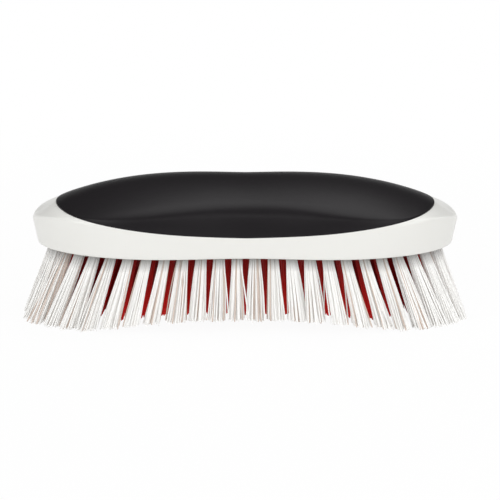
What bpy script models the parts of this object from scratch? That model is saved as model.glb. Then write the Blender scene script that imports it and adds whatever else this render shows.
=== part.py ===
"""Palm-held scrub brush with a boat-shaped plastic block and a moulded rubber grip.

A ring of splayed outer tufts stands round the edge of the block, each with its own folded
root in a blind hole, and rows of shorter inner tufts fill the middle. The brush rests on
its bristles: +X is its length, +Z is up and the origin is on the floor below its middle.
"""

import math
from collections import namedtuple

import bmesh
import bpy
import numpy as np
from mathutils import Vector

MM = 0.001

# Block, with heights measured up from its flat underside
FOOT_HALF_LENGTH = 83.1 * MM
FOOT_HALF_WIDTH = 35.5 * MM
NOSE_SQUARENESS = 2.9
NOSE_ROUNDNESS = 0.55
WAIST_DEPTH = 5.2 * MM
WAIST_REACH = 32.0 * MM
WALL_DRAFT = 0.2
FOOT_EDGE_RADIUS = 0.8 * MM
SHOULDER_AT_END = 10.9 * MM
SHOULDER_CLIMB = 0.2
SHOULDER_RADIUS = 1.4 * MM
SHOULDER_BELOW_PARTING = 0.6 * MM

# Parting line between the block and the grip
PARTING_HEIGHT = 8.85 * MM
PARTING_RISE = 8.0 * MM
PARTING_POWER = 1.6

# Grip
GRIP_HALF_LENGTH = 75.6 * MM
GRIP_NOSE_SQUARENESS = 13.0
DOME_RISE = 18.05 * MM
DOME_FULLNESS = 2.3
DOME_SHOULDER = 0.95
RIDGE_RISE = 10.6 * MM
RIDGE_INSET = 4.4 * MM
RIDGE_REACH = 66.0 * MM
RIDGE_FADE = 1.6
RIDGE_TAIL = 0.08
SCOOP_FLARE = 1.8
SKIN_THICKNESS = 2.5 * MM
SKIN_END_LENGTH = 6.0 * MM

# Bristles
BRISTLE_LENGTH = 28.8 * MM
TRIM_ARCH = 5.0 * MM
TRIM_REACH = 56.0 * MM
TRIM_SQUARENESS = 4
TRIM_FLAT = 0.5 * MM
END_LEAN = math.radians(18.5)
SIDE_LEAN = math.radians(13.0)
CORNER_LEAN = 2.5
CORNER_SHARPNESS = 12
OUTER_TUFTS = 50
TUFT_EDGE_DISTANCE = 6.0 * MM
RING_SHORTER = 0.8 * MM
ROOT_RADIUS = 2.4 * MM
ROOT_DEPTH = 8.0 * MM
ROOT_SIDES = 6
STRAND_GAP = 0.18 * MM
STRAND_TAPER = 0.78
OUTER_SPLAY = 2.35

# Inner tufts, which stand in rows on slices of their backing
INNER_ROWS = 6
ROW_PITCH = 7.3 * MM
ROW_WALL = 1.0 * MM
SLICE_THICKNESS = 1.2 * MM
INNER_SHORTER = 1.2 * MM
INNER_STRAND_INSET = 0.236
INNER_SPLAY = 1.3
HOLE_WALL = 0.8 * MM

# Clearance between pieces that touch
FIT_GAP = 0.3 * MM

# Facets
STATIONS = 72
OUTLINE_POINTS = 1440
FINE_ARCH = {"wall": (0.25, 0.5), "ridge": (0.0, 0.25, 0.5, 0.75, 1.0), "dome": (0.32, 0.55, 0.78)}
PLAIN_ARCH = {"wall": (0.4,), "ridge": (0.0, 0.5, 1.0), "dome": (0.5,)}
RIDGE_STARTS = 0.7
RIDGE_ENDS = 0.14
CUTTER_REACH = 1.0 * MM

# A surface that springs from the parting line: the half-length and the inset of its foot, how far
# its crest sinks and how far the whole of it is lifted
Shell = namedtuple("Shell", "half_length inset sink lift")
HOLLOW_HALF_LENGTH = GRIP_HALF_LENGTH - SKIN_END_LENGTH
LEDGE_EDGE = Shell(GRIP_HALF_LENGTH, 0.0, 0.0, 0.0)
GRIP_OUTSIDE = Shell(GRIP_HALF_LENGTH, 0.0, 0.0, FIT_GAP)
GRIP_HOLLOW = Shell(HOLLOW_HALF_LENGTH, SKIN_THICKNESS, SKIN_THICKNESS, FIT_GAP)
BLOCK_CORE = Shell(HOLLOW_HALF_LENGTH - FIT_GAP, SKIN_THICKNESS + FIT_GAP, SKIN_THICKNESS, 0.0)

COLORS = {
    "white_plastic": ((0.83, 0.82, 0.79, 1.0), 0.32),
    "black_rubber": ((0.022, 0.020, 0.022, 1.0), 0.55),
    "white_nylon": ((0.86, 0.85, 0.82, 1.0), 0.38),
    "red_nylon": ((0.36, 0.008, 0.012, 1.0), 0.40),
}


def clear_scene():
    for item in list(bpy.data.objects):
        bpy.data.objects.remove(item, do_unlink=True)


def make_collection(name):
    collection = bpy.data.collections.new(name)
    bpy.context.scene.collection.children.link(collection)
    return collection


def make_material(name, finish):
    color, roughness = COLORS[finish]
    material = bpy.data.materials.new(name)
    material.use_nodes = True
    shader = material.node_tree.nodes["Principled BSDF"]
    shader.inputs["Base Color"].default_value = color
    shader.inputs["Roughness"].default_value = roughness
    shader.inputs["Metallic"].default_value = 0.0
    material.diffuse_color = color
    return material


def make_object(name, bm, collection, parent, location):
    """Turn a finished bmesh into a named object that hangs on the parent empty."""
    bmesh.ops.recalc_face_normals(bm, faces=bm.faces)
    mesh = bpy.data.meshes.new(name)
    bm.to_mesh(mesh)
    bm.free()
    item = bpy.data.objects.new(name, mesh)
    collection.objects.link(item)
    item.parent = parent
    item.location = location
    return item


def smooth_minimum(a, b, reach):
    """The lower of two values, with a soft change from one to the other."""
    return 0.5 * (a + b - math.hypot(a - b, reach))


def wall_half_width(x, height, inset=0.0):
    """Half-width of the block's side wall at a height above the underside."""
    spread = WALL_DRAFT * height - inset
    share = min(abs(x) / (FOOT_HALF_LENGTH + spread), 1.0)
    nose = (1.0 - share ** NOSE_SQUARENESS) ** NOSE_ROUNDNESS
    waist = WAIST_DEPTH * math.exp(-(x / WAIST_REACH) ** 2)
    return (FOOT_HALF_WIDTH + spread - waist) * nose


def wall_point(angle, height, inset=0.0):
    x = (FOOT_HALF_LENGTH + WALL_DRAFT * height - inset) * math.cos(angle)
    y = wall_half_width(x, height, inset) * side_of(angle)
    return Vector((x, y, height))


def side_of(angle):
    """Which side of the brush a station is on: 1 behind, -1 in front, 0 at the two ends."""
    sine = math.sin(angle)
    return 0.0 if abs(sine) < 1e-9 else math.copysign(1.0, sine)


def parting_height(x):
    return PARTING_HEIGHT + PARTING_RISE * (abs(x) / GRIP_HALF_LENGTH) ** PARTING_POWER


def shell_half_width(x, shell):
    """Half-width of a shell's foot, which closes bluntly at its two ends."""
    share = min(abs(x) / shell.half_length, 1.0)
    close = math.sqrt(1.0 - share ** GRIP_NOSE_SQUARENESS)
    return (wall_half_width(x, parting_height(x)) - shell.inset) * close


def shell_foot(angle, shell):
    x = shell.half_length * math.cos(angle)
    y = shell_half_width(x, shell) * side_of(angle)
    return Vector((x, y, parting_height(x) + shell.lift))


def shoulder_height(angle):
    """The shoulder climbs from the nose of the block until it runs just under the grip."""
    x = FOOT_HALF_LENGTH * math.cos(angle)
    climbing = SHOULDER_AT_END + SHOULDER_CLIMB * wall_half_width(x, 0.0)
    under_grip = parting_height(GRIP_HALF_LENGTH * math.cos(angle)) - SHOULDER_BELOW_PARTING
    return smooth_minimum(climbing, under_grip, SHOULDER_BELOW_PARTING)


def block_profile(angle):
    """Points up the outside of the block, from the underside to the parting line."""
    eased = FOOT_EDGE_RADIUS * (1.0 - math.sqrt(0.5))
    height = shoulder_height(angle)
    corner = wall_point(angle, height)
    parting = shell_foot(angle, LEDGE_EDGE)
    run = parting - corner
    reach = min(SHOULDER_RADIUS, run.length / 2.0)
    below = wall_point(angle, height - reach)
    above = corner + run.normalized() * reach
    return [
        wall_point(angle, 0.0, FOOT_EDGE_RADIUS),
        wall_point(angle, eased, eased),
        wall_point(angle, FOOT_EDGE_RADIUS),
        wall_point(angle, (FOOT_EDGE_RADIUS + height) / 2.0),
        below,
        (below + 2.0 * corner + above) / 4.0,
        above,
        parting,
    ]


def arch_shape(x, steps):
    """Half of the grip's cross-section at x, from its foot to its crest.

    Each point is a share of the half-width at the foot and a rise above the parting line:
    a scooped wall, a soft ridge and a dome.
    """
    share = abs(x) / GRIP_HALF_LENGTH
    crest = DOME_RISE * (1.0 - share ** DOME_FULLNESS) ** DOME_SHOULDER
    fade = max(0.0, 1.0 - (x / RIDGE_REACH) ** 2) ** RIDGE_FADE
    ridge = RIDGE_RISE * fade + RIDGE_TAIL * crest * (1.0 - fade)
    inward = RIDGE_INSET * (fade + RIDGE_TAIL) / FOOT_HALF_WIDTH

    def wall(step):
        return Vector((1.0 - inward + inward * (1.0 - step) ** SCOOP_FLARE, ridge * step))

    def dome(step):
        return Vector(((1.0 - inward) * (1.0 - step), crest - (crest - ridge) * (1.0 - step) ** 2))

    low = wall(RIDGE_STARTS)
    corner = Vector((1.0 - inward, ridge))
    high = dome(RIDGE_ENDS)
    turn = [
        low * (1.0 - t) ** 2 + corner * (2.0 * t * (1.0 - t)) + high * t ** 2
        for t in steps["ridge"]
    ]
    return [wall(t) for t in steps["wall"]] + turn + [dome(t) for t in steps["dome"]], crest


def arch_points(angle, shell, steps):
    """A shell's cross-section above its foot, from behind, over the crest, to the front."""
    x = shell.half_length * math.cos(angle)
    width = shell_half_width(x, shell)
    shape, crest = arch_shape(x, steps)
    squeeze = max(crest - shell.sink, 0.0) / crest
    base = parting_height(x) + shell.lift
    behind = [Vector((x, share * width, base + rise * squeeze)) for share, rise in shape]
    top = Vector((x, 0.0, base + crest * squeeze))
    front = [Vector((p.x, -p.y, p.z)) for p in reversed(behind)]
    return behind + [top] + front


def station_angles():
    return [2.0 * math.pi * i / STATIONS for i in range(STATIONS)]


def bridge(bm, lower, upper):
    """Faces between two rings that have the same number of points."""
    count = len(lower)
    for i in range(count):
        j = (i + 1) % count
        bm.faces.new((lower[i], lower[j], upper[j], upper[i]))


def arched_roof(bm, foot, shell, steps):
    """Close a shell's ring of foot points with cross-sections that run from side to side."""
    half = STATIONS // 2
    angles = station_angles()
    columns = []
    for i in range(1, half):
        inner = [bm.verts.new(point) for point in arch_points(angles[i], shell, steps)]
        columns.append([foot[i]] + inner + [foot[STATIONS - i]])
    for first, second in zip(columns, columns[1:]):
        for k in range(len(first) - 1):
            bm.faces.new((first[k], first[k + 1], second[k + 1], second[k]))
    for tip, column in ((foot[0], columns[0]), (foot[half], columns[-1])):
        for k in range(len(column) - 1):
            bm.faces.new((tip, column[k], column[k + 1]))


def make_block(collection, parent):
    """Loft of the outer wall, a ledge for the grip and the raised core inside it."""
    bm = bmesh.new()
    profiles = [block_profile(angle) for angle in station_angles()]
    rings = [[bm.verts.new(profile[k]) for profile in profiles] for k in range(len(profiles[0]))]
    for lower, upper in zip(rings, rings[1:]):
        bridge(bm, lower, upper)
    bm.faces.new(rings[0])
    foot = [bm.verts.new(shell_foot(angle, BLOCK_CORE)) for angle in station_angles()]
    bridge(bm, rings[-1], foot)
    arched_roof(bm, foot, BLOCK_CORE, PLAIN_ARCH)
    return make_object("block", bm, collection, parent, (0.0, 0.0, BRISTLE_LENGTH))


def make_grip(collection, parent):
    """Rubber skin of even thickness over the block's core, with its rim on the ledge."""
    bm = bmesh.new()
    outer = [bm.verts.new(shell_foot(angle, GRIP_OUTSIDE)) for angle in station_angles()]
    inner = [bm.verts.new(shell_foot(angle, GRIP_HOLLOW)) for angle in station_angles()]
    bridge(bm, outer, inner)
    arched_roof(bm, outer, GRIP_OUTSIDE, FINE_ARCH)
    arched_roof(bm, inner, GRIP_HOLLOW, PLAIN_ARCH)
    return make_object("grip", bm, collection, parent, (0.0, 0.0, BRISTLE_LENGTH))


def ring_outline(distance):
    """The underside's outline moved inwards, a little more at its two ends, as a closed curve."""
    turns = np.linspace(0.0, 2.0 * math.pi, OUTLINE_POINTS, endpoint=False)
    edge = np.array([wall_point(turn, 0.0)[:2] for turn in turns])
    along = np.roll(edge, -1, axis=0) - np.roll(edge, 1, axis=0)
    inward = np.column_stack((-along[:, 1], along[:, 0]))
    curve = edge + distance * inward / np.linalg.norm(inward, axis=1, keepdims=True)
    curve[:, 0] *= 1.0 - RING_SHORTER / (FOOT_HALF_LENGTH - distance)
    return curve


def outer_sites():
    """Root centres of the outer tufts, evenly spaced round the edge from the +X end."""
    curve = ring_outline(TUFT_EDGE_DISTANCE)
    closed = np.vstack((curve, curve[:1]))
    steps = np.linalg.norm(np.diff(closed, axis=0), axis=1)
    travel = np.concatenate(([0.0], np.cumsum(steps)))
    wanted = np.arange(OUTER_TUFTS) * travel[-1] / OUTER_TUFTS
    return list(zip(np.interp(wanted, travel, closed[:, 0]), np.interp(wanted, travel, closed[:, 1])))


def flare(x, y, depth):
    """Where a bristle that is rooted at x, y has got to at a depth below the underside."""
    end_reach = FOOT_HALF_LENGTH - TUFT_EDGE_DISTANCE
    side_reach = wall_half_width(0.0, 0.0) - TUFT_EDGE_DISTANCE
    corner = 1.0 + CORNER_LEAN * (abs(x) / end_reach) ** CORNER_SHARPNESS
    return (
        x * (1.0 + depth * math.tan(END_LEAN) / end_reach),
        y * (1.0 + depth * math.tan(SIDE_LEAN) / side_reach * corner),
    )


def trim_depth(x):
    """How far below the underside the outer bristles are cut: a low arch between two flat ends."""
    arch = TRIM_ARCH * math.exp(-(x / TRIM_REACH) ** TRIM_SQUARENESS)
    return BRISTLE_LENGTH - max(arch - TRIM_FLAT, 0.0)


def slanted_root(bm, site, radius, low, high):
    """A six-sided plug along the lean of its tuft, between two depths below the underside."""
    made = bmesh.ops.create_cone(
        bm,
        cap_ends=True,
        segments=ROOT_SIDES,
        radius1=radius,
        radius2=radius,
        depth=low - high,
    )
    for vert in made["verts"]:
        depth = low if vert.co.z < 0.0 else high
        x, y = flare(site[0], site[1], depth)
        vert.co = Vector((x - site[0] + vert.co.x, y - site[1] + vert.co.y, -depth))
    return made["verts"]


def grow_strands(bm, faces, site, splay, gap, shorter):
    """Draw a strand out of each root face, down to the trim and cut level there."""
    bmesh.ops.inset_individual(bm, faces=faces, thickness=gap, use_even_offset=True)
    for face in bmesh.ops.extrude_discrete_faces(bm, faces=faces)["faces"]:
        root = face.calc_center_median()
        depth = trim_depth(flare(site[0] + root.x, site[1], BRISTLE_LENGTH)[0]) - shorter
        x, y = flare(site[0], site[1], depth)
        for vert in face.verts:
            spread = root * splay + (vert.co - root) * STRAND_TAPER
            vert.co = Vector((x - site[0] + spread.x, y - site[1] + spread.y, -depth))


def make_outer_tuft(name, site, collection, parent):
    bm = bmesh.new()
    slanted_root(bm, site, ROOT_RADIUS, 0.0, -ROOT_DEPTH)
    bm.faces.ensure_lookup_table()
    bottom = min(bm.faces, key=lambda face: face.calc_center_median().z)
    roots = bmesh.ops.poke(bm, faces=[bottom])["faces"]
    grow_strands(bm, roots, site, OUTER_SPLAY, STRAND_GAP, 0.0)
    location = (site[0], site[1], BRISTLE_LENGTH)
    return make_object(name, bm, collection, parent, location)


def row_places():
    """The y, the width and the odd number of tufts of each inner row, inside the outer holes."""
    clear = TUFT_EDGE_DISTANCE + ROOT_RADIUS + 2.0 * FIT_GAP + HOLE_WALL
    spacing = 2.0 * (wall_half_width(0.0, 0.0) - clear) / INNER_ROWS
    width = spacing - ROW_WALL - 2.0 * FIT_GAP
    curve = ring_outline(clear)
    places = []
    for row in range(INNER_ROWS):
        y = (row - (INNER_ROWS - 1) / 2.0) * spacing
        reach = curve[np.abs(curve[:, 1]) >= abs(y) + width / 2.0, 0].max()
        places.append((y, width, 2 * int(reach / ROW_PITCH - 0.5) + 1))
    return places


def make_inner_row(name, place, collection, parent):
    """A slice of the backing with the strands of one row of tufts on it."""
    y, width, count = place
    bm = bmesh.new()
    made = bmesh.ops.create_grid(bm, x_segments=count, y_segments=1, size=0.5)
    for vert in made["verts"]:
        vert.co = Vector((vert.co.x * count * ROW_PITCH, vert.co.y * width, 0.0))
    cells = list(bm.faces)
    raised = bmesh.ops.extrude_face_region(bm, geom=cells, use_keep_orig=True)["geom"]
    for vert in (item for item in raised if isinstance(item, bmesh.types.BMVert)):
        vert.co.z += SLICE_THICKNESS
    top = [item for item in raised if isinstance(item, bmesh.types.BMFace)]
    bmesh.ops.dissolve_faces(bm, faces=top)
    bmesh.ops.recalc_face_normals(bm, faces=bm.faces)
    for cell in [face for face in bm.faces if face.normal.z < -0.5]:
        middle = cell.calc_center_median()
        halves = bmesh.ops.triangulate(bm, faces=[cell])["faces"]
        inset = INNER_STRAND_INSET * width
        bmesh.ops.inset_individual(bm, faces=halves, thickness=inset, use_even_offset=True)
        grow_row_strands(bm, halves, middle, y)
    return make_object(name, bm, collection, parent, (0.0, y, BRISTLE_LENGTH))


def grow_row_strands(bm, faces, middle, y):
    """The strands of one inner tuft, whose root is at the middle of its cell."""
    for face in bmesh.ops.extrude_discrete_faces(bm, faces=faces)["faces"]:
        root = face.calc_center_median()
        depth = trim_depth(flare(middle.x, y, BRISTLE_LENGTH)[0]) - INNER_SHORTER
        x, moved_y = flare(middle.x, y, depth)
        for vert in face.verts:
            spread = (root - middle) * INNER_SPLAY + (vert.co - root) * STRAND_TAPER
            vert.co = Vector((x + spread.x, moved_y - y + spread.y, -depth))


def cut_from(target, cutter):
    cutter.hide_render = True
    cutter.display_type = "WIRE"
    modifier = target.modifiers.new(cutter.name, "BOOLEAN")
    modifier.operation = "DIFFERENCE"
    modifier.solver = "EXACT"
    modifier.object = cutter


def make_hole_cutter(sites, collection, parent):
    """All the blind holes for the outer tufts, each a plug larger than its root by the gap."""
    bm = bmesh.new()
    for site in sites:
        radius = ROOT_RADIUS + FIT_GAP
        verts = slanted_root(bm, site, radius, CUTTER_REACH, -ROOT_DEPTH - FIT_GAP)
        bmesh.ops.translate(bm, verts=verts, vec=(site[0], site[1], 0.0))
    return make_object("hole_cutter", bm, collection, parent, (0.0, 0.0, BRISTLE_LENGTH))


def make_channel_cutter(places, collection, parent):
    """Shallow channels in the underside that the inner rows' slices sit in."""
    bm = bmesh.new()
    top = SLICE_THICKNESS + FIT_GAP
    for y, width, count in places:
        made = bmesh.ops.create_cube(bm, size=1.0)
        size = Vector((
            count * ROW_PITCH + 2.0 * FIT_GAP,
            width + 2.0 * FIT_GAP,
            top + CUTTER_REACH,
        ))
        bmesh.ops.scale(bm, verts=made["verts"], vec=size)
        bmesh.ops.translate(bm, verts=made["verts"], vec=(0.0, y, top - size.z / 2.0))
    return make_object("channel_cutter", bm, collection, parent, (0.0, 0.0, BRISTLE_LENGTH))


def finish(item, material, smooth_angle=None):
    item.data.materials.append(material)
    if smooth_angle is not None:
        item.data.shade_smooth()
        item.data.set_sharp_from_angle(angle=smooth_angle)


def build():
    clear_scene()
    brush = make_collection("scrub_brush")
    cutters = make_collection("cutters")
    root = bpy.data.objects.new("scrub_brush_origin", None)
    brush.objects.link(root)

    block = make_block(brush, root)
    finish(block, make_material("block_plastic", "white_plastic"), math.radians(35.0))
    grip = make_grip(brush, root)
    finish(grip, make_material("grip_rubber", "black_rubber"), math.radians(50.0))

    sites = outer_sites()
    for number, site in enumerate(sites, start=1):
        name = f"white_tuft_{number:02d}"
        tuft = make_outer_tuft(name, site, brush, root)
        finish(tuft, make_material(f"{name}_nylon", "white_nylon"))

    places = row_places()
    for number, place in enumerate(places, start=1):
        name = f"red_row_{number}"
        row = make_inner_row(name, place, brush, root)
        finish(row, make_material(f"{name}_nylon", "red_nylon"))

    cut_from(block, make_hole_cutter(sites, cutters, root))
    cut_from(block, make_channel_cutter(places, cutters, root))


build()
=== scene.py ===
import math
import random

import bmesh
import bpy
import numpy as np
from mathutils import Matrix, Vector


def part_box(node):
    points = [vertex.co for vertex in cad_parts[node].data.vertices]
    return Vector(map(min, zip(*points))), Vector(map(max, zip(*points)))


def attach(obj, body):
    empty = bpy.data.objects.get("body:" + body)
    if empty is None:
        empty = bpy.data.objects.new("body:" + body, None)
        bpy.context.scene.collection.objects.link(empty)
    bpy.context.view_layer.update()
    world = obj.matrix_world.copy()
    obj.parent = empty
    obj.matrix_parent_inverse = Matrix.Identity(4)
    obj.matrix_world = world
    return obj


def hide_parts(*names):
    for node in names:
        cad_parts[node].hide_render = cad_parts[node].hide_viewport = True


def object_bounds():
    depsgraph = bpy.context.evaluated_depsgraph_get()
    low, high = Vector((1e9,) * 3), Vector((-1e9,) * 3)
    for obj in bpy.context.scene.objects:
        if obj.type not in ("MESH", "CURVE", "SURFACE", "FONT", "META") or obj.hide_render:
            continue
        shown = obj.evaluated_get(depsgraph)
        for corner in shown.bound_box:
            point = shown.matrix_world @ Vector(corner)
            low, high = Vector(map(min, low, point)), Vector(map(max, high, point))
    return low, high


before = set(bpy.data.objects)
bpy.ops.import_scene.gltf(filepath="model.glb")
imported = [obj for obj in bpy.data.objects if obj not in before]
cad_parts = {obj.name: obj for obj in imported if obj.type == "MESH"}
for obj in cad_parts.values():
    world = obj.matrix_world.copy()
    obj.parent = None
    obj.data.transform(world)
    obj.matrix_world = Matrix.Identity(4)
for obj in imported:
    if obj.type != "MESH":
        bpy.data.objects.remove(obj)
cadBox = [list(corner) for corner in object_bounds()]
print("stage 1: frame loaded,", len(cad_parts), "nodes")

mm = 0.001
body = "root"                           # nothing on the brush moves, so every piece rides on this body
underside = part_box("block")[0].z        # the block's flat underside, where the bristles start
mergeDistance = 0.01 * mm               # points nearer to each other than this count as one


def selectOnly(*items):
    if bpy.context.mode != "OBJECT":
        bpy.ops.object.mode_set(mode="OBJECT")
    bpy.ops.object.select_all(action="DESELECT")
    for item in items:
        item.select_set(True)
        bpy.context.view_layer.objects.active = item


def editAll(item):
    selectOnly(item)
    bpy.ops.object.mode_set(mode="EDIT")
    bpy.ops.mesh.select_all(action="SELECT")


def leaveEdit():
    bpy.ops.object.mode_set(mode="OBJECT")


def applyModifier(item, modifier):
    selectOnly(item)
    bpy.ops.object.modifier_apply(modifier=modifier.name)


def smoothPiece(item, degrees):
    selectOnly(item)
    bpy.ops.object.shade_smooth_by_angle(angle=math.radians(degrees))


def finishPiece(item, name, material, nodes):
    item.name = name
    item.data.name = name
    item.data.materials.clear()
    item.data.materials.append(material)
    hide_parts(*nodes)
    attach(item, body)


# parts that the materials share

def newGroup(name, inputs, outputs):
    tree = bpy.data.node_groups.new(name, "ShaderNodeTree")
    for label, value in inputs:
        socket = tree.interface.new_socket(name=label, in_out="INPUT", socket_type="NodeSocketFloat")
        socket.default_value = value
    for label in outputs:
        tree.interface.new_socket(name=label, in_out="OUTPUT", socket_type="NodeSocketFloat")
    start = tree.nodes.new("NodeGroupInput")
    end = tree.nodes.new("NodeGroupOutput")
    start.location = (-900, 0)
    end.location = (600, 0)
    return tree, start, end


def addNode(tree, kind, place, **settings):
    node = tree.nodes.new(kind)
    node.location = place
    for key, value in settings.items():
        setattr(node, key, value)
    return node


def addMath(tree, operation, place, first, second):
    node = addNode(tree, "ShaderNodeMath", place, operation=operation)
    for socket, value in zip(node.inputs, (first, second)):
        if isinstance(value, bpy.types.NodeSocket):
            tree.links.new(value, socket)
        else:
            socket.default_value = value
    return node.outputs[0]


def buildGrainGroup():
    # fine moulded grain: two sizes of noise added up as a height
    inputs = [("Coarse", 400.0), ("Fine", 2400.0), ("Share", 0.5)]
    tree, start, end = newGroup("mouldGrain", inputs, ["Height"])
    place = addNode(tree, "ShaderNodeTexCoord", (-900, -250))
    heights = []
    for row, label in enumerate(("Coarse", "Fine")):
        noise = addNode(tree, "ShaderNodeTexNoise", (-600, -260 * row))
        noise.inputs["Detail"].default_value = 3.0
        tree.links.new(place.outputs["Object"], noise.inputs["Vector"])
        tree.links.new(start.outputs[label], noise.inputs["Scale"])
        heights.append(noise.outputs["Fac"])
    fine = addMath(tree, "MULTIPLY", (-300, -260), heights[1], start.outputs["Share"])
    tree.links.new(addMath(tree, "ADD", (-50, 0), heights[0], fine), end.inputs["Height"])
    return tree


def buildDriftGroup():
    # slow change of tone over a surface, as a factor round 1
    tree, start, end = newGroup("toneDrift", [("Size", 20.0), ("Amount", 0.03)], ["Factor"])
    place = addNode(tree, "ShaderNodeTexCoord", (-900, -250))
    noise = addNode(tree, "ShaderNodeTexNoise", (-600, 0))
    noise.inputs["Detail"].default_value = 2.0
    tree.links.new(place.outputs["Object"], noise.inputs["Vector"])
    tree.links.new(start.outputs["Size"], noise.inputs["Scale"])
    centred = addMath(tree, "SUBTRACT", (-350, 0), noise.outputs["Fac"], 0.5)
    scaled = addMath(tree, "MULTIPLY", (-150, 0), centred, start.outputs["Amount"])
    tree.links.new(addMath(tree, "ADD", (50, 0), scaled, 1.0), end.inputs["Factor"])
    return tree


grainGroup = buildGrainGroup()
driftGroup = buildDriftGroup()


def newMaterial(name, values):
    material = bpy.data.materials.new(name)
    material.use_nodes = True
    tree = material.node_tree
    shader = tree.nodes["Principled BSDF"]
    for label, value in values.items():
        shader.inputs[label].default_value = value
    return material, tree, shader


def placeGroup(tree, group, place, **values):
    node = addNode(tree, "ShaderNodeGroup", place, node_tree=group)
    for label, value in values.items():
        node.inputs[label].default_value = value
    return node


def addRoughness(tree, shader, look):
    # roughness that swings with the grain round the look's own value, and gives back the grain's height
    grain = placeGroup(tree, grainGroup, (-700, -200), **look["grain"])
    middle = (1 + look["grain"]["Share"]) / 2
    swing = addMath(tree, "MULTIPLY", (-450, 0), grain.outputs["Height"], look["roughnessSwing"])
    level = look["roughness"] - middle * look["roughnessSwing"]
    tree.links.new(addMath(tree, "ADD", (-250, 0), swing, level), shader.inputs["Roughness"])
    return grain.outputs["Height"]


plasticLook = {
    "color": (0.778, 0.775, 0.745),
    "ior": 1.5,
    "specular": 0.5,
    "roughness": 0.30,
    "roughnessSwing": 0.10,
    "drift": {"Size": 16.0, "Amount": 0.035},
    "grain": {"Coarse": 700.0, "Fine": 3600.0, "Share": 0.6},
    "grainDepth": 0.02 * mm,
    "grainStrength": 0.35,
}

rubberLook = {
    "color": (0.0102, 0.0086, 0.0102),
    "ior": 1.48,
    "specular": 0.26,
    "roughness": 0.40,
    "roughnessSwing": 0.10,
    "drift": {"Size": 22.0, "Amount": 0.25},
    "grain": {"Coarse": 900.0, "Fine": 4200.0, "Share": 0.9},
    "grainDepth": 0.03 * mm,
    "grainStrength": 0.5,
}


def makeMoulded(name, look):
    # plastic and rubber out of a mould: a colour that drifts a little, and a fine grain
    material, tree, shader = newMaterial(name, {
        "IOR": look["ior"],
        "Specular IOR Level": look["specular"],
    })
    drift = placeGroup(tree, driftGroup, (-700, 200), **look["drift"])
    tint = addNode(tree, "ShaderNodeVectorMath", (-300, 250), operation="SCALE")
    tint.inputs[0].default_value = look["color"]
    tree.links.new(drift.outputs["Factor"], tint.inputs["Scale"])
    tree.links.new(tint.outputs["Vector"], shader.inputs["Base Color"])
    bump = addNode(tree, "ShaderNodeBump", (-250, -400))
    bump.inputs["Distance"].default_value = look["grainDepth"]
    bump.inputs["Strength"].default_value = look["grainStrength"]
    tree.links.new(addRoughness(tree, shader, look), bump.inputs["Height"])
    tree.links.new(bump.outputs["Normal"], shader.inputs["Normal"])
    return material


def makeNylon(name, look):
    # the strands carry two values in their mesh: tone, one number a strand, which also carries painted
    # shade, and rise, from root to tip; the emission is painted light, a glow that stands in for light
    # passing through the nylon
    glowColor, glowStrength = look["paintedGlow"]
    material, tree, shader = newMaterial(name, {
        "IOR": look["ior"],
        "Specular IOR Level": look["specular"],
        "Emission Color": (*glowColor, 1.0),
        "Emission Strength": glowStrength,
    })
    tone = addNode(tree, "ShaderNodeAttribute", (-1000, 300), attribute_name="tone")
    rise = addNode(tree, "ShaderNodeAttribute", (-1000, -50), attribute_name="rise")
    ramp = addNode(tree, "ShaderNodeValToRGB", (-780, 300))
    stops = ramp.color_ramp.elements
    first, *between, last = look["tones"]
    stops[0].color = (*first, 1.0)
    stops[1].color = (*last, 1.0)
    for share, color in zip(look["betweenAt"], between):
        stops.new(share).color = (*color, 1.0)
    tree.links.new(tone.outputs["Fac"], ramp.inputs["Fac"])
    # painted shade: the strands get darker towards the root, where the block shades them
    root = addNode(tree, "ShaderNodeMapRange", (-780, -50))
    root.inputs["From Min"].default_value = strandForm["inHole"]
    root.inputs["From Max"].default_value = look["rootReach"]
    root.inputs["To Min"].default_value = look["rootShade"]
    root.inputs["To Max"].default_value = 1.0
    tree.links.new(rise.outputs["Fac"], root.inputs["Value"])
    shade = addNode(tree, "ShaderNodeVectorMath", (-450, 250), operation="SCALE")
    tree.links.new(ramp.outputs["Color"], shade.inputs[0])
    tree.links.new(root.outputs["Result"], shade.inputs["Scale"])
    tree.links.new(shade.outputs["Vector"], shader.inputs["Base Color"])
    addRoughness(tree, shader, look)
    return material


# block and grip, on the same lines as the solids

blockForm = {
    "halfLength": 83.1 * mm,
    "halfWidth": 35.5 * mm,
    "squareness": 2.9,            # how full the outline is towards its ends
    "roundness": 0.55,
    "waistDepth": 5.2 * mm,
    "waistReach": 32.0 * mm,
    "draft": 0.2,
    "footRadius": 0.8 * mm,
    "shoulderAtEnd": 10.9 * mm,
    "shoulderClimb": 0.2,
    "shoulderRadius": 1.6 * mm,
    "shoulderDrop": 0.6 * mm,
    "landPerRadius": 2.2,         # the land is at least this many shoulder radii long
    "lip": 0.22 * mm,             # rounding of the edge that meets the rubber
    "stations": 240,
    "footSteps": 4,
    "wallSteps": 6,
    "shoulderSteps": 8,
    "landSteps": 3,
    "lipSteps": 3,
    "coreSteps": (4, 4, 6),       # points up the hidden core's wall, round its ridge and over its dome
    "holeSides": 18,
    "holeRadius": 2.65 * mm,
    "holeDepth": 5.0 * mm,
    "drillStart": 2 * mm,         # how far below the underside the drill begins
    "smoothAngle": 32,
}

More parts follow.
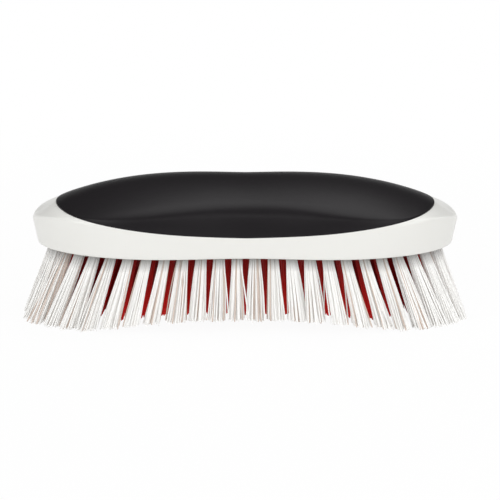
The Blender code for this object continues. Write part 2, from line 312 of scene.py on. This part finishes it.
gripForm = {
    "halfLength": 75.6 * mm,
    "noseSquareness": 13.0,
    "partingHeight": 8.85 * mm,   # the line where block and rubber meet: lowest in the middle
    "partingRise": 8.0 * mm,
    "partingPower": 1.6,
    "domeRise": 18.05 * mm,
    "domeFullness": 2.3,
    "domeShoulder": 0.95,
    "ridgeRise": 10.6 * mm,       # the edge over the finger scoop
    "ridgeInset": 4.4 * mm,
    "ridgeReach": 66.0 * mm,
    "ridgeFade": 1.6,
    "ridgeTail": 0.08,
    "ridgeStarts": 0.7,
    "ridgeEnds": 0.14,
    "scoopFlare": 1.8,
    "skin": 2.5 * mm,
    "skinEnd": 6.0 * mm,
    "gap": 0.3 * mm,
    "edgeInset": 0.04 * mm,       # how far the rubber stays inside the block's lip
    "tuck": 0.14 * mm,            # and how far its foot sits down there
    "steps": (9, 9, 14),          # points up the wall, round the ridge and over the dome
    "smoothAngle": 50,
}


def shares(count):
    return [step / count for step in range(count + 1)]


def sideOf(angle):
    sine = math.sin(angle)
    return 0.0 if abs(sine) < 1e-9 else math.copysign(1.0, sine)


def wallHalfWidth(x, height, inset=0.0):
    form = blockForm
    spread = form["draft"] * height - inset
    share = min(abs(x) / (form["halfLength"] + spread), 1.0)
    nose = (1.0 - share ** form["squareness"]) ** form["roundness"]
    waist = form["waistDepth"] * math.exp(-(x / form["waistReach"]) ** 2)
    return (form["halfWidth"] + spread - waist) * nose


def wallPoint(angle, height, inset=0.0):
    x = (blockForm["halfLength"] + blockForm["draft"] * height - inset) * math.cos(angle)
    return Vector((x, wallHalfWidth(x, height, inset) * sideOf(angle), height))


def partingHeight(x):
    form = gripForm
    share = abs(x) / form["halfLength"]
    return form["partingHeight"] + form["partingRise"] * share ** form["partingPower"]


def shellHalfWidth(x, halfLength, inset):
    share = min(abs(x) / halfLength, 1.0)
    close = math.sqrt(1.0 - share ** gripForm["noseSquareness"])
    return (wallHalfWidth(x, partingHeight(x)) - inset) * close


def shellFoot(angle, halfLength, inset=0.0, lift=0.0):
    x = halfLength * math.cos(angle)
    return Vector((x, shellHalfWidth(x, halfLength, inset) * sideOf(angle), partingHeight(x) + lift))


def shoulderHeight(angle):
    # the lower of two lines, with a soft change from one to the other
    form = blockForm
    halfWidth = wallHalfWidth(form["halfLength"] * math.cos(angle), 0.0)
    climbing = form["shoulderAtEnd"] + form["shoulderClimb"] * halfWidth
    underGrip = partingHeight(gripForm["halfLength"] * math.cos(angle)) - form["shoulderDrop"]
    return 0.5 * (climbing + underGrip - math.hypot(climbing - underGrip, form["shoulderDrop"]))


def curveBetween(first, corner, last, steps):
    return [first * (1 - t) ** 2 + corner * (2 * t * (1 - t)) + last * t ** 2 for t in steps]


def blockProfile(angle):
    # from the underside, round the foot, up the wall, over the shoulder and the land to the rubber
    form = blockForm
    bend = form["footRadius"]
    height = shoulderHeight(angle)
    corner = wallPoint(angle, height)
    parting = shellFoot(angle, gripForm["halfLength"])
    run = parting - corner
    reach = min(form["shoulderRadius"], run.length / form["landPerRadius"])
    below = wallPoint(angle, height - reach)
    above = corner + run.normalized() * reach
    edge = parting - run.normalized() * form["lip"]
    sunk = parting - Vector((0, 0, form["lip"]))
    points = []
    for share in shares(form["footSteps"]):
        turn = share * math.pi / 2
        points.append(wallPoint(angle, bend * (1 - math.cos(turn)), bend * (1 - math.sin(turn))))
    for share in shares(form["wallSteps"])[1:-1]:
        points.append(wallPoint(angle, bend + (height - reach - bend) * share))
    points += curveBetween(below, corner, above, shares(form["shoulderSteps"]))
    points += [above.lerp(edge, share) for share in shares(form["landSteps"])[1:-1]]
    points += curveBetween(edge, parting, sunk, shares(form["lipSteps"]))
    return points


def archShape(x, steps):
    # half a cross-section: share of the half-width and rise above the parting line
    form = gripForm
    share = min(abs(x) / form["halfLength"], 1.0)
    crest = form["domeRise"] * (1.0 - share ** form["domeFullness"]) ** form["domeShoulder"]
    fade = max(0.0, 1.0 - (x / form["ridgeReach"]) ** 2) ** form["ridgeFade"]
    ridge = form["ridgeRise"] * fade + form["ridgeTail"] * crest * (1.0 - fade)
    inward = form["ridgeInset"] * (fade + form["ridgeTail"]) / blockForm["halfWidth"]

    def wall(t):
        return Vector((1.0 - inward + inward * (1.0 - t) ** form["scoopFlare"], ridge * t))

    def dome(t):
        return Vector(((1.0 - inward) * (1.0 - t), crest - (crest - ridge) * (1.0 - t) ** 2))

    low, high = wall(form["ridgeStarts"]), dome(form["ridgeEnds"])
    turn = curveBetween(low, Vector((1.0 - inward, ridge)), high, shares(steps[1]))
    walls = [wall(form["ridgeStarts"] * t) for t in shares(steps[0])[:-1]]
    domes = [dome(form["ridgeEnds"] + (1 - form["ridgeEnds"]) * t) for t in shares(steps[2])[1:-1]]
    return walls + turn + domes, crest


def archColumn(angle, halfLength, inset, sink, lift, steps):
    # the whole cross-section at a station, from behind over the crest to the front
    x = halfLength * math.cos(angle)
    width = shellHalfWidth(x, halfLength, inset)
    shape, crest = archShape(x, steps)
    squeeze = max(crest - sink, 0.0) / crest if crest > 0 else 0.0
    base = partingHeight(x) + lift
    behind = [Vector((x, share * width, base + rise * squeeze)) for share, rise in shape]
    top = Vector((x, 0.0, base + crest * squeeze))
    return behind + [top] + [Vector((p.x, -p.y, p.z)) for p in reversed(behind)]


def shapedGrid(name, columns):
    # a grid primitive whose points are set to the columns' points
    rows = len(columns[0]) - 1
    selectOnly()
    bpy.ops.mesh.primitive_grid_add(x_subdivisions=len(columns) - 1, y_subdivisions=rows, size=1.0)
    grid = bpy.context.object
    grid.name = name
    for vert in grid.data.vertices:
        column = round((vert.co.x + 0.5) * (len(columns) - 1))
        row = round((vert.co.y + 0.5) * rows)
        vert.co = columns[column][row]
    return grid


def stationAngles(count):
    return [2 * math.pi * i / count for i in range(count)]


def makeBlock():
    # the underside's outline, extruded level by level up the wall and roofed with the hidden core
    form = blockForm
    count = form["stations"]
    profiles = [blockProfile(angle) for angle in stationAngles(count)]
    core = gripForm["halfLength"] - gripForm["skinEnd"] - gripForm["gap"]
    coreInset = gripForm["skin"] + gripForm["gap"]
    for angle, profile in zip(stationAngles(count), profiles):
        profile.append(shellFoot(angle, core, coreInset))
    selectOnly()
    bpy.ops.mesh.primitive_circle_add(vertices=count, radius=form["halfWidth"], fill_type="NGON")
    block = bpy.context.object
    station = block.data.attributes.new("station", "INT", "POINT")
    for vert in block.data.vertices:
        turn = math.atan2(vert.co.y, vert.co.x) % (2 * math.pi)
        station.data[vert.index].value = round(turn * count / (2 * math.pi)) % count
    editAll(block)
    mesh = bmesh.from_edit_mesh(block.data)
    for level in range(len(profiles[0])):
        if level:
            bpy.ops.mesh.extrude_region_move()
            mesh = bmesh.from_edit_mesh(block.data)
        layer = mesh.verts.layers.int["station"]
        for vert in mesh.verts:
            if vert.select:
                vert.co = profiles[vert[layer]][level]
        bmesh.update_edit_mesh(block.data)
    bpy.ops.mesh.delete(type="ONLY_FACE")       # the top stays open for the roof
    leaveEdit()
    half = count // 2
    columns = [archColumn(math.pi * i / half, core, coreInset, gripForm["skin"], 0.0, form["coreSteps"])
               for i in range(half + 1)]
    tip = shellFoot(0.0, core, coreInset)
    for column, x in ((columns[0], tip.x), (columns[-1], -tip.x)):
        column[:] = [Vector((x, 0.0, tip.z))] * len(column)
    roof = shapedGrid("blockCore", columns)
    selectOnly(roof, block)
    bpy.ops.object.join()
    editAll(block)
    bpy.ops.mesh.remove_doubles(threshold=mergeDistance)
    bpy.ops.mesh.normals_make_consistent(inside=False)
    leaveEdit()
    block.data.transform(Matrix.Translation((0, 0, underside)))
    return block


solidForm = {
    "rowPitch": 7.3 * mm,
    "slabAbove": 0.5 * mm,        # only a row's backing lies further than this above the underside
    "tipsBelow": 10 * mm,         # and only tips lie further than this below it
}


def solidPoints(node):
    return np.array([vert.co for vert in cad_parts[node].data.vertices])


def rootAxis(node):
    # where a tuft's root enters the block, where it ends inside and where the tips are, read from its solid
    points = solidPoints(node)
    z = points[:, 2]
    mouth = points[np.abs(z - underside) < mergeDistance].mean(axis=0)
    deep = points[z > z.max() - mergeDistance].mean(axis=0)
    tip = points[z < underside - solidForm["tipsBelow"]].mean(axis=0)
    return Vector(mouth), Vector(deep), Vector(tip)


outerNodes = sorted(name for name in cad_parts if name.startswith("white_tuft"))
rowNodes = sorted(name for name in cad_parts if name.startswith("red_row"))
outerAxes = [rootAxis(name) for name in outerNodes]


def rowRoots(node):
    # the middles of a row's tufts, read from the slice of backing that the solid stands on
    points = solidPoints(node)
    slab = points[points[:, 2] > underside + solidForm["slabAbove"]]
    pitch = solidForm["rowPitch"]
    count = round((slab[:, 0].max() - slab[:, 0].min()) / pitch)
    y = (slab[:, 1].max() + slab[:, 1].min()) / 2
    return [Vector(((i - (count - 1) / 2) * pitch, y, underside)) for i in range(count)]


innerRoots = [rowRoots(name) for name in rowNodes]


def drillBlock(block):
    # one blind hole for each tuft: slanted in the outer ring, upright in the inner rows
    form = blockForm
    start = form["drillStart"]
    selectOnly()
    bpy.ops.mesh.primitive_cylinder_add(
        vertices=form["holeSides"], radius=form["holeRadius"], depth=form["holeDepth"] + start)
    drill = bpy.context.object
    drill.data.transform(Matrix.Translation((0, 0, (form["holeDepth"] - start) / 2)))
    drills = []
    places = [(mouth, deep - mouth) for mouth, deep, _ in outerAxes]
    places += [(root, Vector((0, 0, 1))) for row in innerRoots for root in row]
    for mouth, lean in places:
        copy = drill.copy()
        copy.data = drill.data.copy()
        bpy.context.scene.collection.objects.link(copy)
        turn = Vector((0, 0, 1)).rotation_difference(lean.normalized()).to_matrix().to_4x4()
        copy.data.transform(Matrix.Translation(mouth) @ turn)
        drills.append(copy)
    bpy.data.objects.remove(drill)
    selectOnly(*drills)
    bpy.ops.object.join()
    cutter = bpy.context.object
    cut = block.modifiers.new("tuftHoles", "BOOLEAN")
    cut.operation = "DIFFERENCE"
    cut.solver = "EXACT"
    cut.object = cutter
    applyModifier(block, cut)
    bpy.data.objects.remove(cutter)


def makeGrip():
    # the rubber's outer skin and the hollow under it, two grids that a rim joins at the foot
    form = gripForm
    half = blockForm["stations"] // 2
    length = form["halfLength"]
    pieces = []
    for name, reach, inset, sink, steps in (
        ("gripSkin", length, form["edgeInset"], 0.0, form["steps"]),
        ("gripHollow", length - form["skinEnd"], form["skin"], form["skin"], blockForm["coreSteps"]),
    ):
        columns = []
        for i in range(half + 1):
            angle = math.pi * i / half
            column = archColumn(angle, reach, inset, sink, form["gap"], steps)
            if i in (0, half):
                tip = shellFoot(angle, reach, inset, form["gap"])
                column = [tip.copy() for _ in column]
            behind = shellFoot(angle, reach, inset, -form["tuck"])
            front = Vector((behind.x, -behind.y, behind.z))
            columns.append([behind] + column + [front])
        pieces.append(shapedGrid(name, columns))
    outer, inner = pieces
    for piece in pieces:
        editAll(piece)
        bpy.ops.mesh.remove_doubles(threshold=mergeDistance)
        leaveEdit()
    selectOnly(inner, outer)
    bpy.ops.object.join()
    grip = bpy.context.object
    editAll(grip)
    bpy.ops.mesh.select_all(action="DESELECT")
    bpy.ops.mesh.select_mode(type="EDGE")
    mesh = bmesh.from_edit_mesh(grip.data)
    for edge in mesh.edges:
        edge.select_set(edge.is_boundary)
    bmesh.update_edit_mesh(grip.data)
    bpy.ops.mesh.bridge_edge_loops()
    bpy.ops.mesh.select_mode(type="VERT")
    bpy.ops.mesh.select_all(action="SELECT")
    bpy.ops.mesh.normals_make_consistent(inside=False)
    leaveEdit()
    grip.data.transform(Matrix.Translation((0, 0, underside)))
    return grip


plastic = makeMoulded("whitePlastic", plasticLook)
block = makeBlock()
drillBlock(block)
smoothPiece(block, blockForm["smoothAngle"])
finishPiece(block, "blockShell", plastic, ["block"])
print("stage 2: block,", len(block.data.polygons), "faces")

rubber = makeMoulded("blackRubber", rubberLook)
grip = makeGrip()
smoothPiece(grip, gripForm["smoothAngle"])
finishPiece(grip, "gripCover", rubber, ["grip"])
print("stage 3: grip,", len(grip.data.polygons), "faces")


# bristles

trimForm = {
    "arch": 5.0 * mm,             # how much shorter the bristles are in the middle
    "archReach": 56.0 * mm,
    "archPower": 4,
    "flat": 0.5 * mm,             # the arch's foot, cut level with the floor
    "endLean": math.radians(18.5),
    "sideLean": math.radians(13.0),
    "cornerLean": 2.5,
    "cornerSharpness": 12,
    "edgeDistance": 6.0 * mm,
    "furtherLean": 10.5 * mm,     # between the middle and the ends the tips stand out further
    "furtherFrom": 2.5,
    "furtherTo": 4,
}


def trimLevel(x):
    # height above the floor at which the bristles are cut
    form = trimForm
    arch = form["arch"] * math.exp(-(x / form["archReach"]) ** form["archPower"])
    return max(arch - form["flat"], 0.0)


def flareTo(x, y, depth):
    # where a tuft rooted at x, y stands at this depth below the underside
    form = trimForm
    endReach = blockForm["halfLength"] - form["edgeDistance"]
    sideReach = wallHalfWidth(0.0, 0.0) - form["edgeDistance"]
    corner = 1 + form["cornerLean"] * (abs(x) / endReach) ** form["cornerSharpness"]
    return (x * (1 + depth * math.tan(form["endLean"]) / endReach),
            y * (1 + depth * math.tan(form["sideLean"]) / sideReach * corner))


def leanFurther(x):
    # how much further out a tuft's tips stand: not at all in the brush's middle and at its very ends
    form = trimForm
    share = abs(x) / (blockForm["halfLength"] - form["edgeDistance"])
    lean = form["furtherLean"] * share ** form["furtherFrom"] * (1 - share ** form["furtherTo"])
    return math.copysign(lean, x)


strandForm = {
    "sides": 6,
    "cuts": (0.18, 0.4, 0.64, 0.86),    # where a strand can bend, as shares of its length
    "tipRound": 0.7,              # width of the end face, against the strand's own
    "tipDepth": 0.985,            # where the rounding begins
    "inHole": 0.06,               # share of a strand that is inside its hole
    "lowestTip": 0.12 * mm,       # no tip is nearer to the floor
    "boxSlack": 0.3 * mm,         # the outermost tips are spread over this much
    "skinFrom": 0.9,              # strands further out in a tuft than this share are its skin
    "paintedShadeTone": 0.1,               # tone factor of a strand with painted warm shade, the shade and red light between the strands
    "smoothAngle": 50,
}


def makeStrand():
    # one strand along z from 0 to 1, with a trimmed and slightly rounded tip
    form = strandForm
    selectOnly()
    bpy.ops.mesh.primitive_cylinder_add(vertices=form["sides"], radius=1.0, depth=1.0, location=(0, 0, 0.5))
    strand = bpy.context.object
    bpy.ops.object.transform_apply(location=True, rotation=False, scale=False)
    for cut in (*form["cuts"], form["tipDepth"]):
        editAll(strand)
        bpy.ops.mesh.bisect(plane_co=(0, 0, cut), plane_no=(0, 0, 1))
        leaveEdit()
    for vert in strand.data.vertices:
        if vert.co.z > (1 + form["tipDepth"]) / 2:
            vert.co.x *= form["tipRound"]
            vert.co.y *= form["tipRound"]
    points = np.array([vert.co for vert in strand.data.vertices])
    faces = [list(face.vertices) for face in strand.data.polygons]
    bpy.data.objects.remove(strand)
    return points, faces


strandPoints, strandFaces = makeStrand()


def packedPlaces(rings, spacing):
    # rings of 6, 12, 18 strands and so on: x, y and how far out each one stands, from 0 to 1
    places = [(0.0, 0.0, 0.0)]
    for ring in range(1, rings + 1):
        radius = spacing * ring
        for step in range(6 * ring):
            angle = 2 * math.pi * (step + 0.5 * (ring % 2)) / (6 * ring)
            places.append((radius * math.cos(angle), radius * math.sin(angle), ring / rings))
    return places


def bendStrand(start, mouth, tip, bow, radius, twist):
    # the strand's points carried along a line from inside the hole, out of its mouth to the tip
    along = (tip - mouth).normalized()
    across = along.cross(Vector((0, 1, 0))).normalized()
    beside = along.cross(across)
    start, mouth, tip, bow = (np.array(point) for point in (start, mouth, tip, bow))
    rise = strandPoints[:, 2:3]
    inHole = strandForm["inHole"]
    low = np.clip(rise / inHole, 0, 1)
    high = np.clip((rise - inHole) / (1 - inHole), 0, 1)
    inside = start * (1 - low) + mouth * low
    outside = mouth * (1 - high) + tip * high + bow * 4 * high * (1 - high)
    line = np.where(rise < inHole, inside, outside)
    c, s = math.cos(twist), math.sin(twist)
    u = strandPoints[:, 0:1] * c - strandPoints[:, 1:2] * s
    v = strandPoints[:, 0:1] * s + strandPoints[:, 1:2] * c
    return line + radius * (u * np.array(across) + v * np.array(beside))


def strandMesh(name, strands):
    # one mesh of many strands, each given as its points and its tone
    points = np.vstack([strand for strand, _ in strands])
    size = len(strandPoints)
    faces = [[index + n * size for index in face] for n in range(len(strands)) for face in strandFaces]
    mesh = bpy.data.meshes.new(name)
    mesh.from_pydata(points.tolist(), [], faces)
    tones = np.repeat([tone for _, tone in strands], size)
    rises = np.tile(strandPoints[:, 2], len(strands))
    for label, values in (("tone", tones), ("rise", rises)):
        mesh.attributes.new(label, "FLOAT", "POINT").data.foreach_set("value", values.astype(np.float32))
    item = bpy.data.objects.new(name, mesh)
    bpy.context.scene.collection.objects.link(item)
    return item


outerTuft = {
    "rings": 4,
    "spacing": 0.45 * mm,
    "radius": 0.26 * mm,
    "spread": (1.5, 2.0),         # how much wider a tuft is at its tips, from and to
    "endSpread": 0.25,            # and how much more at the brush's ends
    "endThickness": 0.16,         # and how much thicker its strands are there
    "swing": 0.45 * mm,           # how far a whole tuft's tips stand off their place
    "fan": 0.0,
    "rootJitter": 0.04 * mm,
    "tipJitter": 0.30 * mm,
    "strayShare": 0.10,           # share of the strands that stand off, and how far
    "stray": 1.4 * mm,
    "lengthJitter": 0.26 * mm,
    "bow": 0.22 * mm,
    "sink": 1.8 * mm,             # how deep in the hole the strands begin
    "shorter": 0.0,
    "coreTones": (0.3, 0.8),      # tones of the strands inside the tuft, from and to, kept lower than the skin's as painted shade
    "skinTones": (0.6, 1.0),
    "paintedShadeShare": 0.11,
    "seed": 11,
}

innerTuft = {
    "rings": 4,
    "spacing": 0.57 * mm,
    "radius": 0.27 * mm,
    "spread": (1.5, 1.7),
    "endSpread": 0.0,
    "endThickness": 0.0,
    "swing": 0.3 * mm,
    "fan": 0.5,                   # the strands leave the hole in a fan, bulging out by this share
    "rootJitter": 0.05 * mm,
    "tipJitter": 0.30 * mm,
    "strayShare": 0.04,
    "stray": 0.8 * mm,
    "lengthJitter": 0.3 * mm,
    "bow": 0.2 * mm,
    "sink": 1.8 * mm,
    "shorter": 0.4 * mm,
    "coreTones": (0.6, 1.0),
    "skinTones": (0.7, 1.0),
    "paintedShadeShare": 0.0,
    "shelteredPaintedShade": 0.28,       # painted shade: tone factor of a tuft that stands behind another one
    "shelterSlack": 1 * mm,       # how much further in along the brush that other one may stand
    "middleBand": 5 * mm,         # rows this near the middle line stay wide, and no light shows through
    "seed": 23,
}

# an inner tuft next to the ring is narrower, so that the ones behind it, darkened with painted shade, show
# beside it
openTuft = dict(innerTuft, spacing=0.34 * mm, spread=(1.8, 2.2), fan=0.0)


def inTheOpen(root):
    # true for an inner tuft that has no other one between it and the ring
    nearest = abs(root.x) - innerTuft["shelterSlack"]
    sameSide = [other for row in innerRoots for other in row if root.y * other.y > 0]
    return not any(abs(other.y) > abs(root.y) and abs(other.x) >= nearest for other in sameSide)


def heldIn(value, axis, radius, dice):
    # keeps a tip inside the brush's box, without lining the outermost tips up
    low, high = cadBox[0][axis] + radius, cadBox[1][axis] - radius
    slack = dice.uniform(0.0, strandForm["boxSlack"])
    return min(max(value, low + slack), high - slack)


def growTuft(form, mouth, lean, tipX, tipY, dice, light=1.0):
    # lean is the hole's direction, up into the block, and light a factor on the strands' tones: below 1 it
    # is painted shade
    strands = []
    turn = dice.uniform(0, math.pi / 3)
    nearEnd = (mouth.x / blockForm["halfLength"]) ** 4
    spread = dice.uniform(*form["spread"]) * (1 + form["endSpread"] * nearEnd)
    radius = form["radius"] * (1 + form["endThickness"] * nearEnd)
    tipX += dice.gauss(0, form["swing"])
    tipY += dice.gauss(0, form["swing"])
    c, s = math.cos(turn), math.sin(turn)
    for a, b, out in packedPlaces(form["rings"], form["spacing"]):
        a, b = a * c - b * s, a * s + b * c
        a += dice.gauss(0, form["rootJitter"])
        b += dice.gauss(0, form["rootJitter"])
        root = mouth + Vector((a, b, 0))
        wander = form["tipJitter"]
        if dice.random() < form["strayShare"]:
            wander += form["stray"]
        x = heldIn(tipX + a * spread + dice.gauss(0, wander), 0, radius, dice)
        y = heldIn(tipY + b * spread + dice.gauss(0, wander), 1, radius, dice)
        z = trimLevel(x) + form["shorter"] + dice.gauss(0, form["lengthJitter"])
        tip = Vector((x, y, max(z, strandForm["lowestTip"])))
        bow = Vector((a * form["fan"] + dice.gauss(0, form["bow"]),
                      b * form["fan"] + dice.gauss(0, form["bow"]), 0))
        start = root + lean * form["sink"]
        points = bendStrand(start, root, tip, bow, radius, dice.uniform(0, math.pi))
        # painted shade: strands inside the tuft take the core's lower tones
        tones = form["skinTones"] if out > strandForm["skinFrom"] else form["coreTones"]
        tone = dice.uniform(*tones)
        # painted warm shade: a share of the strands takes the tan end of the tone ramp
        if dice.random() < form["paintedShadeShare"]:
            tone *= strandForm["paintedShadeTone"]
        strands.append((points, tone * light))
    return strands


nylonLook = {
    "ior": 1.53,
    "specular": 0.30,
    "roughnessSwing": 0.16,
    "grain": {"Coarse": 500.0, "Fine": 2500.0, "Share": 0.5},
    "betweenAt": (0.33, 0.66),    # where the two middle ones of the four tones lie
}

whiteLook = {
    **nylonLook,
    # from the strands with painted warm shade to the whitest
    "tones": [(0.50, 0.355, 0.275), (0.87, 0.855, 0.83), (0.885, 0.88, 0.865), (0.885, 0.885, 0.875)],
    "roughness": 0.40,
    "rootReach": 0.27,            # share of the strand up to which its root gets painted shade
    "rootShade": 0.2,
    # painted light: a faint warm glow that stands in for light passing through and between the strands
    "paintedGlow": ((0.97, 0.94, 0.90), 0.065),
}

redLook = {
    **nylonLook,
    # from the sheltered strands, dark with painted shade, to the brightest
    "tones": [(0.16, 0.014, 0.016), (0.62, 0.009, 0.011), (0.90, 0.016, 0.016), (0.98, 0.030, 0.024)],
    "roughness": 0.42,
    "rootReach": 0.85,
    "rootShade": 0.2,
    # painted light: a faint red glow that stands in for light passing through the strands
    "paintedGlow": ((1.0, 0.02, 0.02), 0.018),
}

whiteNylon = makeNylon("whiteNylon", whiteLook)
redNylon = makeNylon("redNylon", redLook)

dice = random.Random(outerTuft["seed"])
for number, (node, (mouth, deep, tip)) in enumerate(zip(outerNodes, outerAxes), start=1):
    lean = (deep - mouth).normalized()
    strands = growTuft(outerTuft, mouth, lean, tip.x + leanFurther(mouth.x), tip.y, dice)
    tuft = strandMesh("whiteTuft%02d" % number, strands)
    smoothPiece(tuft, strandForm["smoothAngle"])
    finishPiece(tuft, tuft.name, whiteNylon, [node])
print("stage 4: outer tufts,", len(outerNodes))

dice = random.Random(innerTuft["seed"])
for number, (node, roots) in enumerate(zip(rowNodes, innerRoots), start=1):
    strands = []
    for root in roots:
        x, y = flareTo(root.x, root.y, underside)
        x, y = flareTo(root.x, root.y, underside - trimLevel(x))    # the trim ends it a little earlier
        x += leanFurther(root.x)
        isOpen = inTheOpen(root)
        form = openTuft if isOpen and abs(root.y) > innerTuft["middleBand"] else innerTuft
        # painted shade: a tuft with another one between it and the ring gets darker tones
        light = 1.0 if isOpen else innerTuft["shelteredPaintedShade"]
        strands += growTuft(form, root, Vector((0, 0, 1)), x, y, dice, light)
    row = strandMesh("redRow%d" % number, strands)
    smoothPiece(row, strandForm["smoothAngle"])
    finishPiece(row, row.name, redNylon, [node])
print("stage 5: inner rows,", len(rowNodes))


# floor, light and camera

stageLook = {
    "floorSize": 8.0,
    "floorColor": (0.86, 0.86, 0.855),
    "whiteShare": 0.95,           # how much of the floor the camera sees as plain white near the brush
    "fadeFrom": 0.14,
    "fadeTo": 0.45,
    "worldLight": 0.50,
    # what reflections see, from and to a height as a sine: the white backdrop low down and a pale ceiling
    "seenInGloss": ((0.04, 0.12, 1.0, 0.05), (0.6, 0.97, 0.05, 0.30)),
}


def seenRays(tree, place):
    # 1 for rays from the camera, and for reflections and clear materials
    path = addNode(tree, "ShaderNodeLightPath", place)
    both = addMath(tree, "MAXIMUM", (place[0] + 200, place[1]),
                   path.outputs["Is Camera Ray"], path.outputs["Is Glossy Ray"])
    return addMath(tree, "MAXIMUM", (place[0] + 400, place[1]), both, path.outputs["Is Transmission Ray"])


def makeFloor():
    look = stageLook
    selectOnly()
    bpy.ops.mesh.primitive_plane_add(size=look["floorSize"], location=(0, 0, 0))
    floor = bpy.context.object
    floor.name = "floor"
    material, tree, shader = newMaterial("paleFloor", {"Roughness": 0.9, "Specular IOR Level": 0.0})
    shader.inputs["Base Color"].default_value = (*look["floorColor"], 1.0)
    white = addNode(tree, "ShaderNodeEmission", (0, -300))
    place = addNode(tree, "ShaderNodeTexCoord", (-1100, -500))
    distance = addNode(tree, "ShaderNodeVectorMath", (-900, -500), operation="LENGTH")
    tree.links.new(place.outputs["Object"], distance.inputs[0])
    fade = addNode(tree, "ShaderNodeMapRange", (-700, -500), interpolation_type="SMOOTHSTEP")
    fade.inputs["From Min"].default_value = look["fadeFrom"]
    fade.inputs["From Max"].default_value = look["fadeTo"]
    fade.inputs["To Min"].default_value = look["whiteShare"]
    fade.inputs["To Max"].default_value = 1.0
    tree.links.new(distance.outputs["Value"], fade.inputs["Value"])
    share = addMath(tree, "MULTIPLY", (-200, -500), seenRays(tree, (-900, -800)), fade.outputs["Result"])
    mix = addNode(tree, "ShaderNodeMixShader", (250, 0))
    tree.links.new(share, mix.inputs[0])
    tree.links.new(shader.outputs[0], mix.inputs[1])
    tree.links.new(white.outputs[0], mix.inputs[2])
    tree.links.new(mix.outputs[0], tree.nodes["Material Output"].inputs["Surface"])
    floor.data.materials.append(material)


def makeWorld():
    world = bpy.data.worlds.new("studio")
    bpy.context.scene.world = world
    world.use_nodes = True
    tree = world.node_tree
    look = stageLook
    background = tree.nodes["Background"]
    background.inputs["Color"].default_value = (1.0, 1.0, 1.0, 1.0)
    place = addNode(tree, "ShaderNodeTexCoord", (-1300, -300))
    split = addNode(tree, "ShaderNodeSeparateXYZ", (-1100, -300))
    tree.links.new(place.outputs["Generated"], split.inputs[0])
    bands = []
    for row, reach in enumerate(look["seenInGloss"]):
        band = addNode(tree, "ShaderNodeMapRange", (-900, -300 - 280 * row),
                       interpolation_type="SMOOTHSTEP")
        for label, value in zip(("From Min", "From Max", "To Min", "To Max"), reach):
            band.inputs[label].default_value = value
        tree.links.new(split.outputs["Z"], band.inputs["Value"])
        bands.append(band.outputs["Result"])
    mirrored = addMath(tree, "MAXIMUM", (-650, -300), *bands)
    path = addNode(tree, "ShaderNodeLightPath", (-1100, 250))
    glossy = addMath(tree, "MAXIMUM", (-850, 100),
                     path.outputs["Is Glossy Ray"], path.outputs["Is Transmission Ray"])
    # the bands for reflections and clear materials, plain white for the camera, and the light for the rest
    layers = ((glossy, mirrored), (path.outputs["Is Camera Ray"], 1.0))
    strength = look["worldLight"]
    for column, (share, seen) in enumerate(layers):
        mix = addNode(tree, "ShaderNodeMix", (-450 + 220 * column, 0), data_type="FLOAT")
        tree.links.new(share, mix.inputs[0])
        for socket, value in ((mix.inputs[2], strength), (mix.inputs[3], seen)):
            if isinstance(value, float):
                socket.default_value = value
            else:
                tree.links.new(value, socket)
        strength = mix.outputs[0]
    tree.links.new(strength, background.inputs["Strength"])


lampAim = (0, 0, 0.03)

lamps = {
    "overhead": {"place": (0.25, 0.15, 1.15), "size": (1.2, 1.0), "power": 6.0},
    "rightFront": {"place": (0.95, -0.95, 0.65), "size": (1.0, 0.8), "power": 4.7},
    "leftFront": {"place": (-1.00, -0.95, 0.60), "size": (1.0, 0.8), "power": 5.8},
    "lowFront": {"place": (0.02, -1.40, 0.12), "size": (1.2, 0.22), "power": 3.2},
}


def makeLamps():
    for name, lamp in lamps.items():
        data = bpy.data.lights.new(name, "AREA")
        data.shape = "RECTANGLE"
        data.size, data.size_y = lamp["size"]
        data.energy = lamp["power"]
        item = bpy.data.objects.new(name, data)
        item.location = lamp["place"]
        item.rotation_euler = (Vector(lampAim) - item.location).to_track_quat("-Z", "Y").to_euler()
        bpy.context.scene.collection.objects.link(item)


cameraView = {
    "aim": (1.92 * mm, 0.0, underside - 3.79 * mm),
    "azimuth": -1.0,
    "elevation": 13.89,
    "roll": -0.25,
    "distance": 800 * mm,
    "pixelsPerMetre": 2481.0,     # at the aim
    "frame": 500,                 # width of the picture in pixels
    "sensor": 36.0,
    "clip": (0.01, 20.0),
}


def makeCamera():
    view = cameraView
    azimuth, elevation, roll = (math.radians(view[key]) for key in ("azimuth", "elevation", "roll"))
    level = math.cos(elevation)
    back = Vector((math.sin(azimuth) * level, -math.cos(azimuth) * level, math.sin(elevation)))
    right = Vector((math.cos(azimuth), math.sin(azimuth), 0.0))
    up = back.cross(right)
    c, s = math.cos(roll), math.sin(roll)
    turned = (c * right - s * up, s * right + c * up, back)
    data = bpy.data.cameras.new("camera")
    data.sensor_width = view["sensor"]
    data.lens = view["pixelsPerMetre"] * view["sensor"] * view["distance"] / view["frame"]
    data.clip_start, data.clip_end = view["clip"]
    camera = bpy.data.objects.new("camera", data)
    camera.matrix_world = (Matrix.Translation(Vector(view["aim"]) + back * view["distance"])
                           @ Matrix(turned).transposed().to_4x4())
    bpy.context.scene.collection.objects.link(camera)
    bpy.context.scene.camera = camera


makeFloor()
makeWorld()
makeLamps()
makeCamera()
bpy.context.scene.view_settings.view_transform = "Standard"
print("stage 6: floor, lamps and camera")
